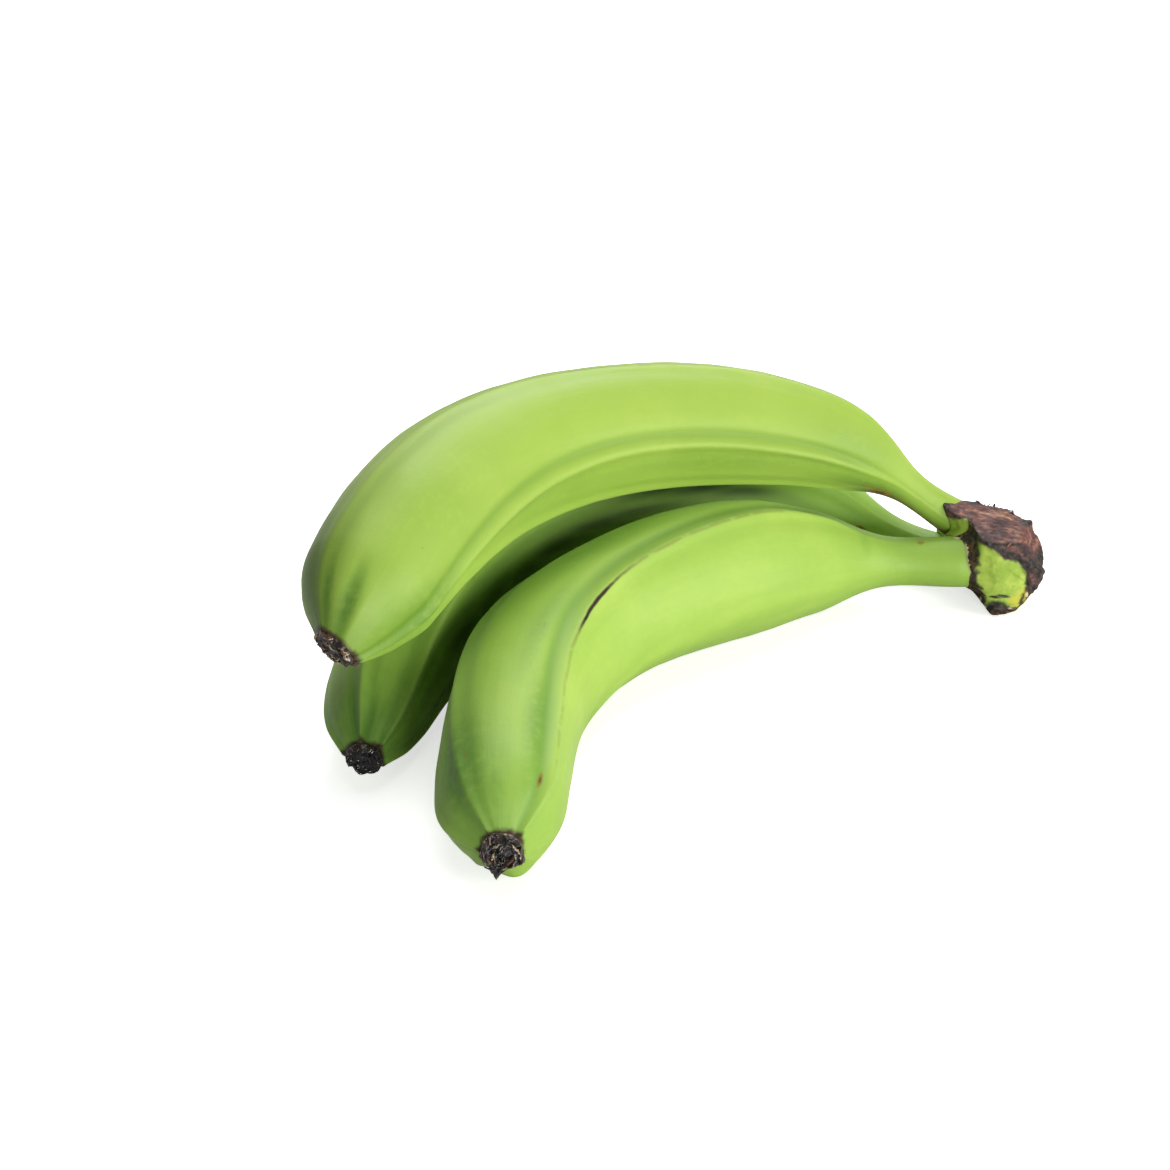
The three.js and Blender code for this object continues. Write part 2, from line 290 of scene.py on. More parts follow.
def peelShell(banana, relief=1.0):
    # a section carried along the middle line: its radius at an angle is the girth, plus a bell at
    # each ridge, less a bell in the groove on each side of it and a sine squared across each face
    even = np.linspace(0, 1, peel["rows"])
    share = even - peel["rowCrowding"] * np.sin(2 * np.pi * even)
    centre, ahead, hollow, above = middleLine(banana, share)
    ridges = [alongCurve(ridgeAt, keys, np.maximum(share, ridgeAt[0])) for keys in banana["ridges"]]
    ridges = np.stack(ridges, 1)
    widths = np.diff(np.concatenate([ridges, ridges[:, :1] + 360], 1), axis=1)
    across = np.arange(peel["columnsPerFace"]) / peel["columnsPerFace"]
    across = across - peel["columnCrowding"] * np.sin(2 * np.pi * across)
    angle = (ridges[:, :, None] + widths[:, :, None] * across).reshape(len(share), -1)
    sink = np.tile(np.sin(np.pi * across) ** 2, len(banana["ridges"]))
    past = (angle[:, :, None] - ridges[:, None, :] + 540) % 360 - 180
    ridge = bell(past / peel["ridgeWidth"]) @ np.array(banana["ridgeFirmness"])
    groove = bell((past + banana["grooveAt"]) / banana["grooveWidth"]) @ np.array(banana["grooveBefore"])
    groove += bell((past - banana["grooveAt"]) / banana["grooveWidth"]) @ np.array(banana["grooveAfter"])
    strength = alongCurve(peel["strengthAt"], peel["strength"], share)[:, None]
    girth = alongCurve(girthAt, banana["girth"], share)[:, None]
    spots = spotsOf(banana, share, angle, girth)
    height = peel["ridgeHeight"] * ridge - peel["grooveDepth"] * groove - peel["faceSink"] * sink
    height = height - spots["dent"]
    turned = np.radians(angle)[:, :, None]
    outward = np.cos(turned) * above[:, None] + np.sin(turned) * hollow[:, None]
    smooth = centre[:, None] + (girth + strength * height)[:, :, None] * outward
    unevenness = layered(smooth, peel["swellings"], peel["seed"])
    grid = smooth + (relief * np.minimum(strength, 1) * unevenness)[:, :, None] * outward

    # the blossom end is cut askew, and a lobe may grow past it
    towards, slope = banana["lean"]
    endRadius = banana["girth"][-1]
    lean = slope * endRadius * np.cos(np.radians(angle - towards))
    lean = lean * fade(share, peel["leanFrom"], 1)[:, None]
    lobe = spots["lobe"] * fade(share, 1, peel["lobeFull"])[:, None]
    grid = grid + lobe[:, :, None] * (peel["lobeOutward"] * outward + ahead[:, None])
    grid = grid + lean[:, :, None] * ahead[:, None]

    # the lip at the blossom end turns in, and the stalk goes straight on into the crown
    turnIn = np.linspace(0, np.pi / 2, peel["rollSteps"] + 1)[1:]
    insideScale, insideAhead = zip(*peel["lipInside"])
    scales = np.append(1 - peel["rollRadius"] / endRadius * (1 - np.cos(turnIn)), insideScale)
    forwards = np.append(peel["rollRadius"] * peel["rollDepth"] * np.sin(turnIn), insideAhead)
    lip = centre[-1] + (grid[-1] - centre[-1]) * scales[:, None, None] + ahead[-1] * forwards[:, None, None]
    rootEnd = grid[:1] - ahead[0] * banana["root"]
    grid = np.concatenate([rootEnd, grid, lip])
    if banana["bellyFlat"]:
        grid[..., 2] = np.maximum(grid[..., 2], peel["belly"])

    def extended(value):
        return np.concatenate([value[:1], value, np.repeat(value[-1:], len(lip), 0)])

    columns = angle.shape[1]
    corners = np.arange(len(banana["ridges"]) + 1) * peel["columnsPerFace"]
    toneAndLight = np.interp(np.arange(columns), corners, banana["faceToneAndLight"] + banana["faceToneAndLight"][:1])
    scar = np.zeros_like(angle)
    if "scarRidge" in banana:  # millimetres across the skin from that ridge, on both sides
        i = banana["scarRidge"]
        scar = np.radians((angle - ridges[:, i:i + 1] + 540) % 360 - 180) * girth
    values = dict(
        share=extended(np.repeat(share[:, None], columns, 1)),
        ridge=extended(ridge * np.minimum(strength, 1)),
        groove=extended(groove * np.minimum(strength, 1)),
        toneAndLight=extended(np.repeat(toneAndLight[None], len(share), 0)),
        turnX=extended(np.cos(np.radians(angle))),
        turnY=extended(np.sin(np.radians(angle))),
        scar=extended(scar),
        brown=extended(spots["brown"]),
        shade=extended(spots["shade"]),
        paintedShadow=extended(spots["paintedShadow"]),
    )
    first = centre[0] - ahead[0] * banana["root"]
    last = centre[-1] + ahead[-1] * insideAhead[-1]
    return dict(grid=grid, first=first, last=last, values=values)


topBanana = dict(
    start=[-1.3, -3.3, 17.6],  # where its middle line starts, from the point under the crown
    root=0,  # how far the stalk goes on into the crown
    length=219,
    turn=[1, 6, 7, 27, 61, 69],  # degrees that it heads from the left towards the front
    rise=[31, 38, 15, 3, -2, -28],  # degrees that it heads up
    girth=[5.4, 4.8, 11.1, 14.7, 16.7, 18, 15.9, 11.8, 5.5],  # its radius
    ridges=[  # degrees round the middle line from above, towards the hollow side
        [92, 86, 94, 106],
        [150, 140, 122, 124],
        [215, 210, 200, 195],
        [285, 282, 270, 262],
        [370, 362, 346, 336],
    ],
    faceToneAndLight=[0.57, 0.5, 0.5, 0.5, 0.62],  # how pale each face between two ridges is: partly the skin's own tone, partly painted light on faces turned to the lamps and painted shade on faces turned away
    ridgeFirmness=[1, 0.8, 0.7, 0.6, 0.35],
    grooveAt=10.5,  # degrees from the ridge
    grooveWidth=5,
    grooveBefore=[1.2, 0.25, 0.5, 0.5, 0.2],  # how deep it is on that side of each ridge
    grooveAfter=[0.3, 0.5, 0.5, 0.3, 0.2],
    # share, degrees, length and width in millimetres, and amount: for a dent or a lobe, its height
    spots=dict(
        brown=[
            (0.022, 152, 4, 2.0, 1.3), (0.05, 155, 6, 1.5, 1.1), (0.06, 30, 4, 0.5, 0.4),
            (0.08, 155, 7, 1.4, 1.1), (0.11, 151, 6, 1.5, 1.1), (0.135, 137, 4, 1.5, 1.0),
            (0.142, 124, 7, 0.6, 0.8),
        ],
        # painted shade: deeper green where the skin is turned from the light and in the creases near the
        # blossom end
        shade=[
            (0.06, 70, 16, 8, 0.3), (0.16, 112, 14, 2.5, 0.8), (0.2, 62, 14, 6, 0.4),
            (0.36, 106, 45, 4.5, 0.45), (0.6, 108, 40, 5, 0.3), (0.84, 45, 40, 16, 0.35),
            (0.93, 344, 16, 9, 0.3), (0.94, 98, 14, 8, 0.9), (0.97, 350, 7, 1.5, 1.0),
            (0.975, 19, 8, 2.2, 1.3),
        ],
        # painted shadow along the underside of the stalk, on the left face near the blossom end and in its
        # crease
        paintedShadow=[
            (0.022, 150, 6, 3, 1.1), (0.06, 152, 9, 2.4, 0.6), (0.1, 152, 9, 2.4, 0.8),
            (0.133, 141, 8, 2, 1.1), (0.15, 125, 16, 1.6, 0.5), (0.965, 318, 26, 8, 0.75),
            (0.98, 19, 7, 1.8, 0.4),
        ],
        dent=[
            (0.978, 19, 8, 2.2, 0.9), (0.985, 50, 5, 1.8, 0.4),
        ],
    ),
    lean=(95, 0.28),  # the side of the blossom end that comes forward, in degrees, and how steeply
    bellyFlat=False,  # it does not lie on the ground
)

middleBanana = dict(
    start=[-1.8, 0.2, 5.7],
    root=4,
    length=225.5,
    turn=[-23, -21.5, 12, 31.5, 66.5, 87],
    rise=[4, 14.5, 7, 0.5, -5, -10.5],
    girth=[5.6, 5.7, 13.3, 17.5, 19.5, 17.6, 12.5, 9.5, 4.7],
    ridges=[  # degrees round the middle line from above, towards the hollow side
        [30, 36, 42, 54],
        [105, 110, 115, 125],
        [180, 182, 186, 194],
        [255, 260, 265, 275],
        [328, 332, 342, 354],
    ],
    faceToneAndLight=[0.5, 0.45, 0.5, 0.5, 0.42],
    ridgeFirmness=[1, 1, 0.8, 0.8, 1],
    grooveAt=13,
    grooveWidth=6,
    grooveBefore=[0.8, 0.6, 0.5, 0.5, 0.6],
    grooveAfter=[0.8, 0.6, 0.5, 0.5, 0.6],
    # share, degrees, length and width in millimetres, and amount: for a dent or a lobe, its height
    spots=dict(
        brown=[
            (0.126, 70, 2, 0.6, 0.9),
        ],
        # painted shade in a crease by the stalk and in the creases at the blossom end
        shade=[
            (0.148, 44, 7, 2.0, 0.4), (0.98, 340, 8, 1.5, 1.0), (0.985, 11, 6, 1.2, 1.2),
        ],
        # painted shadow where the top and front bananas lie close over it, and near its blossom end
        paintedShadow=[
            (0.31, 55, 14, 2.0, 0.9), (0.36, 50.5, 14, 2.0, 1.0), (0.42, 46, 14, 2.0, 1.0),
            (0.46, 62, 16, 1.4, 0.7), (0.49, 42.5, 16, 1.8, 0.7), (0.53, 64, 16, 1.8, 0.8),
            (0.6, 68, 16, 2.6, 0.9), (0.67, 72, 18, 3.5, 0.85), (0.74, 70, 18, 4, 0.9),
            (0.81, 70, 18, 5, 0.9), (0.88, 73, 16, 5, 0.6), (0.95, 315, 20, 7, 0.2),
            (0.96, 60, 20, 7, 0.35),
        ],
        dent=[
            (0.98, 338, 7, 1.5, 0.5), (0.985, 12, 6, 1.3, 0.5),
        ],
    ),
    lean=(90, 0),
    bellyFlat=True,  # it is pressed flat where it lies
)

frontBanana = dict(
    start=[-6, -14, 12.7],
    root=7,
    length=200.5,
    turn=[-10, 8, 31, 38.5, 80.5, 93],
    rise=[-5.5, 4.5, 11, -4.5, -0.5, -8.5],
    girth=[6.8, 7, 14.1, 18.3, 18.1, 16.4, 14.7, 11.8, 4.7],
    ridges=[  # degrees round the middle line from above, towards the hollow side
        [12, 27, 47, 50],
        [85, 105, 130, 135],
        [160, 175, 200, 210],
        [225, 238, 255, 266],
        [280, 295, 310, 325],
    ],
    faceToneAndLight=[0.78, 0.78, 0.5, 0.5, 0.58],
    ridgeFirmness=[0.9, 0.1, 0.5, 0.5, 0.7],
    grooveAt=13,
    grooveWidth=6,
    grooveBefore=[1.1, 0.1, 0.4, 0.4, 0.5],
    grooveAfter=[0.05, 0.1, 0.4, 0.4, 0.4],
    # share, degrees, length and width in millimetres, and amount: for a dent or a lobe, its height
    spots=dict(
        brown=[
            (0.05, 13, 1.5, 1.1, 0.6), (0.697, 14, 3, 0.4, 0.42), (0.728, 16, 3, 0.6, 0.36),
            (0.748, 17.5, 2, 0.4, 0.36), (0.778, 15, 3, 0.4, 0.34), (0.924, 328, 3.5, 0.35, 0.5),
            (0.95, 39, 1.9, 0.6, 1.0),
        ],
        # painted shade on the stalk, in creases and valleys beside the scarred ridge, and on the left faces
        # near the blossom end
        shade=[
            (0.06, 45, 16, 14, 0.4), (0.134, 24, 2.5, 7, 0.4), (0.51, 344, 26, 5, 0.55),
            (0.7, 12, 24, 3, 0.5), (0.87, 29, 22, 3.2, 0.8), (0.93, 318, 16, 9, 1.0),
            (0.93, 350, 14, 7, 0.4), (0.97, 352, 8, 3, 0.7),
        ],
        # painted shadow on the left face near the blossom end
        paintedShadow=[
            (0.95, 318, 20, 4, 0.3),
        ],
        dent=[
            (0.134, 24, 2.5, 6, 0.35),
        ],
        lobe=[
            (0.963, 167, 9.1, 4.6, 2.9),
        ],
    ),
    lean=(180, 0.12),
    bellyFlat=True,
    scarRidge=0,  # the ridge that carries a dry scar
)

# Where the point under the crown is in the frame: the plain shape of the top banana has to fill its box
plain = peelShell(topBanana, relief=0)["grid"].reshape(-1, 3)
low, high = (np.array(corner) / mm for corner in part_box("banana_top"))
place = (low + high) / 2 - (plain.min(0) + plain.max(0)) / 2
place[2] = -peel["belly"]

finish = dict(
    patchScale=38,
    patchAmount=0.7,
    streakScale=7,
    streakAmount=0.25,
    mottleScale=420,
    mottleAmount=0.22,
    poreScale=1900,
    speckScale=260,
    speckRareness=75,  # the scale of the pattern that says where specks may be
    shadow=colour(40, 64, 16),
    bruiseRim=colour(150, 112, 44),
    bruise=colour(66, 44, 22),
    tip=colour(62, 44, 26),
    speck=colour(96, 92, 40),
    streakLength=1.2,  # the higher, the shorter the streaks along the fruit
    bumpStrength=0.25,
    bumpHeight=0.0004,
    skinDepth={  # light goes a little way into the skin
        "Subsurface Weight": 0.12,
        "Subsurface Radius": (0.6, 1.0, 0.2),
        "Subsurface Scale": 0.002,
    },
    skinGloss={
        "Specular IOR Level": 0.42,
        "Sheen Weight": 0.12,
        "Sheen Roughness": 0.35,
    },
)


def peelFinishGroup():
    # the colour, gloss and fine relief of green banana skin
    tree, entry, leave = newGroup(
        "peelFinish",
        {"Place": "Vector", "Grain": "Vector", "Share": "Float", "Ridge": "Float", "Groove": "Float",
         "Tone And Light": "Float", "Brown": "Float", "Shade": "Float", "Painted Shadow": "Float", "Body": "Color",
         "Pale": "Color", "Deep": "Color", "Line": "Color", "Ridge Highlight": "Float",
         "Groove Shade": "Float", "Tip Amount": "Float"},
        {"Colour": "Color", "Roughness": "Float", "Height": "Float"},
    )
    at = entry["Place"]
    broad = cloud(tree, at, finish["patchScale"], 2)
    streaks = cloud(tree, entry["Grain"], finish["streakScale"], 3, 0.6)
    mottle = cloud(tree, at, finish["mottleScale"], 3, 0.6)
    pores = cloud(tree, at, finish["poreScale"], 2, 0.6)

    # from deep to body to pale green, by face (partly painted light and shade), by broad patches and by
    # streaks along the length
    level = swayed(tree, entry["Tone And Light"], broad, finish["patchAmount"])
    level = swayed(tree, level, streaks, finish["streakAmount"])
    level = swayed(tree, level, mottle, finish["mottleAmount"])
    skin = mixed(tree, ramped(tree, level, 0.0, 0.5), entry["Deep"], entry["Body"])
    skin = mixed(tree, ramped(tree, level, 0.5, 1.1), skin, entry["Pale"])

    # painted shade in the grooves, and a painted highlight as a thin pale line along the ridges
    grooveShading = worked(tree, "MULTIPLY", entry["Groove"], entry["Groove Shade"])
    skin = mixed(tree, grooveShading, skin, entry["Deep"])
    line = worked(tree, "MULTIPLY", ramped(tree, entry["Ridge"], 0.45, 0.95), entry["Ridge Highlight"])
    skin = mixed(tree, line, skin, entry["Line"])

    # painted shade: deeper green in creases and on parts turned from the light; painted shadow where the
    # bananas lie close; and small bruises with a browner rim
    shade = worked(tree, "MULTIPLY", entry["Shade"], ramped(tree, mottle, 0.2, 0.6, 0.45, 0.85))
    skin = mixed(tree, shade, skin, entry["Deep"])
    paintedShadow = worked(tree, "MULTIPLY", entry["Painted Shadow"], ramped(tree, broad, 0.3, 0.6, 0.85, 0.95))
    skin = mixed(tree, paintedShadow, skin, finish["shadow"])
    bruise = swayed(tree, entry["Brown"], mottle, 0.5)
    skin = mixed(tree, ramped(tree, bruise, 0.25, 0.6, 0.0, 0.7), skin, finish["bruiseRim"])
    skin = mixed(tree, ramped(tree, bruise, 0.62, 0.95, 0.0, 0.8), skin, finish["bruise"])

    # the blossom end darkens a little, and its last millimetre turns brown
    tipDark = worked(tree, "MULTIPLY", ramped(tree, entry["Share"], 0.9, 1.0), entry["Tip Amount"])
    skin = mixed(tree, tipDark, skin, entry["Deep"])
    browned = worked(tree, "ADD", entry["Share"], worked(tree, "MULTIPLY", mottle, 0.006))
    skin = mixed(tree, ramped(tree, browned, 0.998, 1.003), skin, finish["tip"])

    # sparse dark specks, where cells of a fine pattern happen to be close to their middle
    cells = addNode(tree, "TexVoronoi", {"Vector": at, "Scale": finish["speckScale"]})
    rare = ramped(tree, cloud(tree, at, finish["speckRareness"], 1), 0.6, 0.68)
    speck = worked(tree, "MULTIPLY", ramped(tree, cells.outputs["Distance"], 0.08, 0.02), rare)
    skin = mixed(tree, worked(tree, "MULTIPLY", speck, 0.4), skin, finish["speck"])
    tree.links.new(skin, leave["Colour"])

    rough = ramped(tree, broad, 0.3, 0.7, 0.46, 0.56)
    tree.links.new(worked(tree, "ADD", rough, worked(tree, "MULTIPLY", pores, 0.06)), leave["Roughness"])
    pits = worked(tree, "MULTIPLY", pores, 0.3)
    tree.links.new(worked(tree, "ADD", pits, worked(tree, "MULTIPLY", streaks, 0.8)), leave["Height"])
    return tree


scarLook = dict(
    # how strong it is at a share of the banana's length
    strength=[(0.24, 0), (0.33, 0.42), (0.5, 0.42), (0.57, 0.7), (0.6, 1), (0.64, 0.85), (0.68, 0.5),
              (0.74, 0.35), (0.9, 0.3), (0.98, 0)],
    wander=1.0,  # millimetres to either side of the ridge
    halo=colour(112, 82, 36),
    core=colour(44, 22, 12),
)


def scarred(tree, at, skin):
    # a dry brown line on one ridge, blackest in the middle of its length
    offset = swayed(tree, valueOf(tree, "scar"), cloud(tree, at, 110, 3), scarLook["wander"])
    offset = worked(tree, "ABSOLUTE", offset)
    stops = [(share, (strength, strength, strength, 1)) for share, strength in scarLook["strength"]]
    shape = colourRamp(tree, valueOf(tree, "share"), stops)
    amount = worked(tree, "MULTIPLY", shape, ramped(tree, cloud(tree, at, 300, 2), 0.3, 0.5))
    halo = worked(tree, "MULTIPLY", ramped(tree, offset, 0.7, 0.1), amount)
    skin = mixed(tree, worked(tree, "MULTIPLY", halo, 0.8), skin, scarLook["halo"])
    inside = worked(tree, "DIVIDE", offset, worked(tree, "MAXIMUM", shape, 0.05))
    core = worked(tree, "MULTIPLY", ramped(tree, inside, 0.72, 0.2), ramped(tree, shape, 0.4, 0.8))
    return mixed(tree, core, skin, scarLook["core"])


def peelMaterial(name, group, look):
    material = bpy.data.materials.new(name)
    material.use_nodes = True
    tree = material.node_tree
    shader = tree.nodes["Principled BSDF"]
    at = addNode(tree, "TexCoord").outputs["Object"]
    along = worked(tree, "MULTIPLY", valueOf(tree, "share"), finish["streakLength"])
    grain = addNode(tree, "CombineXYZ", {0: valueOf(tree, "turnX"), 1: valueOf(tree, "turnY"), 2: along})
    made = useGroup(tree, group, {
        "Place": at, "Grain": grain.outputs[0], "Share": valueOf(tree, "share"),
        "Ridge": valueOf(tree, "ridge"), "Groove": valueOf(tree, "groove"), "Tone And Light": valueOf(tree, "toneAndLight"),
        "Brown": valueOf(tree, "brown"), "Shade": valueOf(tree, "shade"), "Painted Shadow": valueOf(tree, "paintedShadow"),
        "Body": look["body"], "Pale": look["pale"], "Deep": look["deep"], "Line": look["line"],
        "Ridge Highlight": look["ridgeHighlight"], "Groove Shade": look["grooveShade"],
        "Tip Amount": look["tipAmount"],
    })
    skin = made["Colour"]
    if look["scar"]:
        skin = scarred(tree, at, skin)
    tree.links.new(skin, shader.inputs["Base Color"])
    tree.links.new(made["Roughness"], shader.inputs["Roughness"])
    bump = {"Height": made["Height"], "Strength": finish["bumpStrength"], "Distance": finish["bumpHeight"]}
    tree.links.new(addNode(tree, "Bump", bump).outputs[0], shader.inputs["Normal"])
    for key, value in (finish["skinDepth"] | finish["skinGloss"]).items():
        shader.inputs[key].default_value = value
    return material


topLook = dict(
    body=colour(166, 198, 80),
    pale=colour(192, 215, 100),
    deep=colour(98, 142, 38),
    # the colour of the painted highlight along the ridges
    line=colour(200, 220, 118),
    ridgeHighlight=0.12,
    grooveShade=0.4,
    tipAmount=0.25,
    scar=False,
)
middleLook = dict(
    body=colour(154, 192, 78),
    pale=colour(176, 208, 94),
    deep=colour(84, 130, 42),
    line=colour(172, 202, 106),
    ridgeHighlight=0.35,
    grooveShade=0.4,
    tipAmount=0.35,
    scar=False,
)
frontLook = dict(
    body=colour(160, 198, 80),
    pale=colour(182, 213, 92),
    deep=colour(90, 140, 46),
    line=colour(176, 206, 98),
    ridgeHighlight=0.2,
    grooveShade=0.5,
    tipAmount=0.15,
    scar=True,
)

peelFinish = peelFinishGroup()
for pieceName, nodeName, banana, look in (
    ("peelTop", "banana_top", topBanana, topLook),
    ("peelMiddle", "banana_middle", middleBanana, middleLook),
    ("peelFront", "banana_front", frontBanana, frontLook),
):
    peelPiece = makePiece(pieceName, [peelShell(banana)])
    finishPiece(peelPiece, nodeName, peelMaterial(pieceName, peelFinish, look))


# The crown
crownLook = dict(
    rows=244,
    columns=360,
    middle=[5, -8.5, 10],
    edge=26,  # how sharp the edges between the cuts are
    join=30,  # how sharp the two lumps meet
    wobble=(0.33, 0.02),  # a cut's unevenness, as shares of its distance: how wide and how high
    seed=40,
    # a cut is the direction it faces, its distance from the middle and whether it is the old, dried one
    cuts=[
        ([0.18, -0.04, 0.98], 12.7, True),
        ([0.83, -0.3, 0.47], 12.2, True),
        ([0.3, -0.95, 0.05], 14, False),
        ([-0.35, -0.93, -0.08], 14.8, False),
        ([0.11, 0.48, 0.86], 13.8, True),
        ([0.66, 0.37, 0.65], 12.3, True),
        ([1, 0.05, 0.08], 12.8, True),
        ([0.94, -0.16, -0.29], 11.9, False),
        ([0.76, -0.32, -0.57], 12.5, False),
        ([0.27, -0.47, -0.84], 14.4, False),
        ([0.1, 1, 0.1], 13.5, False),
        ([0, 0, -1], 9.3, False),
    ],
    lumps=[
        dict(
            radii=[15, 25, 19],
            cuts=[([-0.99, -0.05, -0.1], 6.9, False), ([-0.93, -0.18, -0.33], 7.6, False)],
        ),
        dict(
            radii=[22, 22, 22],
            cuts=[([-0.91, -0.2, -0.36], 6.4, False), ([-0.5, -0.42, -0.75], 1.9, False),
                  ([-0.62, -0.776, 0.1], 10.9, False)],
        ),
    ],
    # the zones of the front are laid out from the middle, right and up, as they look from this direction
    lookFrom=[-0.205, -0.854, 0.477],
    freshCorners=[(-4.3, 4.1), (-0.9, 2.9), (6.6, 0.8), (9.0, -2.9), (9.4, -5.8), (7.9, -11.4), (4, -12.2),
                  (-0.6, -12.0)],
    driedBorder=([-20, -11.4, -8.1, -6.5, -6, -4.2, -0.4, 2.6, 6.6, 9.1, 10, 14],
                 [8, 9.3, 10.1, 8.2, 5.5, 4.1, 2.6, 0.8, 0.2, -3.1, -6, -12]),
    rimBorder=([-16, -14, -8, 0.1, 4.4, 8.7], [-3.6, -4.2, -6.7, -8.0, -8.2, -7.2]),
    marks=dict(  # right, up, width, height
        char=[
            (2.6, -12.0, 3.0, 1.5), (12.8, 0.2, 2.6, 5.2), (-5.8, 14.4, 1.8, 1.0),
            (7.2, 10.6, 1.4, 1.2), (9.8, -0.4, 2.6, 2.2), (1.4, -9.8, 1.6, 0.4), (3.6, -9.2, 1.8, 0.45),
            (-12, 12.5, 1.0, 1.0), (-5.6, 5.5, 0.9, 2.5), (11.6, -6.5, 1.0, 1.6),
        ],
        gold=[
            (6.8, -10, 2.0, 1.9), (8.6, -8.4, 1.1, 2.4),
        ],
        bone=[
            (-0.6, -12.2, 0.5, 1.0), (-2.2, -10.8, 0.4, 0.8), (9.7, -8.2, 0.4, 0.7),
            (5.6, -12.3, 0.8, 0.3),
        ],
        peak=[
            (-4.9, 14.9, 0.8, 1.4), (7.7, 10.3, 1.5, 1.2), (-12.6, 13.6, 1.2, 0.9),
            (12.3, -1.4, 0.8, 0.8),
        ],
    ),
    # unevenness: how wide and how high, in millimetres
    borderSway=[(2.3, 0.55), (0.9, 0.4)],
    tearing=[(2.8, 1), (1.0, 0.35)],
    freshRelief=[(2.6, 0.16), (0.8, 0.06)],
    rimRelief=[(1.3, 0.25)],
    driedRelief=[(1.7, 0.12)],
    fibreHeight=0.15,
    tornOutline=0.45,
    tornBorder=0.6,
    tornEdge=0.3,
    tornLift=0.3,
    peakHeight=1.1,
    charSink=0.35,
    scorch=(1.0, 1.5),  # a scorched band on the dried cut: how far above its border, and how wide
    # how far it runs out along each stalk, and over what width round the stalk
    collars=[(topBanana, 2.0, 1.5), (middleBanana, 3.0, 2.5), (frontBanana, 3.0, 1.3)],
    paleStripAt=0.5,  # a pale strip runs along the front stalk's collar at this height, and to either side of it
    paleStripReach=(5.5, 4.0),
    flakes=30,
    flakeLength=(1.2, 3.0),
    flakeLift=(0.1, 0.7),
    flakeWidth=(0.3, 0.9),
    flakeThickness=0.2,
    flakesLeftOf=8,
)


def insideCorners(x, y, corners):
    # millimetres in from the nearest side of a polygon whose corners run clockwise
    corners = np.array(corners, float)
    sides = np.roll(corners, -1, axis=0) - corners
    sides /= np.linalg.norm(sides, axis=1, keepdims=True)
    depths = [(x - cx) * sy - (y - cy) * sx for (cx, cy), (sx, sy) in zip(corners, sides)]
    return np.min(depths, axis=0)


def outwardOf(grid, direction):
    # the direction square to a closed grid, from its two directions
    normal = np.cross(np.gradient(grid, axis=0), np.roll(grid, -1, axis=1) - np.roll(grid, 1, axis=1))
    normal /= np.maximum(np.linalg.norm(normal, axis=-1, keepdims=True), 1e-9)
    return normal * np.sign((normal * direction).sum(-1, keepdims=True))


def ribbonShell(points, across, width, thickness, values, sides=8):
    # a flat strip as a closed tube: an ellipse carried along the points, narrower at both ends
    rows = len(points)
    ahead = np.gradient(points, axis=0)
    ahead /= np.linalg.norm(ahead, axis=1, keepdims=True)
    across = across - (ahead @ across)[:, None] * ahead
    across /= np.linalg.norm(across, axis=1, keepdims=True)
    up = np.cross(ahead, across)
    turn = np.linspace(0, 2 * np.pi, sides, endpoint=False)[None, :, None]
    taper = np.sqrt(1 - np.linspace(-0.98, 0.98, rows) ** 4)[:, None, None]
    ring = np.cos(turn) * across[:, None] * width / 2 + np.sin(turn) * up[:, None] * thickness / 2
    grid = points[:, None] + ring * taper
    return dict(grid=grid, first=grid[0].mean(0), last=grid[-1].mean(0), values=values)


def crownBody():
    # along each direction from the middle the skin lies at the reach of the nearest cut or of the
    # ball, blended by a high power so that edges are rounded. The two lumps blend the same way
    look = crownLook
    polar = np.linspace(0, np.pi, look["rows"] + 2)[1:-1, None]
    turn = np.linspace(0, 2 * np.pi, look["columns"], endpoint=False)[None]
    direction = np.stack([
        -np.cos(polar) + 0 * turn,
        np.sin(polar) * np.cos(turn),
        np.sin(polar) * np.sin(turn),
    ], -1)
    wobbleWide, wobbleHigh = look["wobble"]
    reaches, dryWeights = [], []
    for lump in look["lumps"]:
        inverses = [np.linalg.norm(direction / lump["radii"], axis=-1)]
        old = [False]
        for i, (towards, distance, isOld) in enumerate(look["cuts"] + lump["cuts"]):
            towards = np.array(towards) / np.linalg.norm(towards)
            uneven = 1 + wobbleHigh * lumps(direction, wobbleWide, look["seed"] + i)
            inverses.append(np.maximum(direction @ towards, 0) / (distance * uneven))
            old.append(isOld)
        powers = np.stack(inverses) ** look["edge"]
        reaches.append(powers.sum(0) ** (-1 / look["edge"]))
        dryWeights.append(powers[np.array(old)].sum(0) / powers.sum(0))
    powers = np.stack(reaches) ** look["join"]
    reach = powers.sum(0) ** (1 / look["join"])
    dryWeight = (powers * np.stack(dryWeights)).sum(0) / powers.sum(0)
    return direction, np.array(look["middle"], float) + direction * reach[..., None], dryWeight


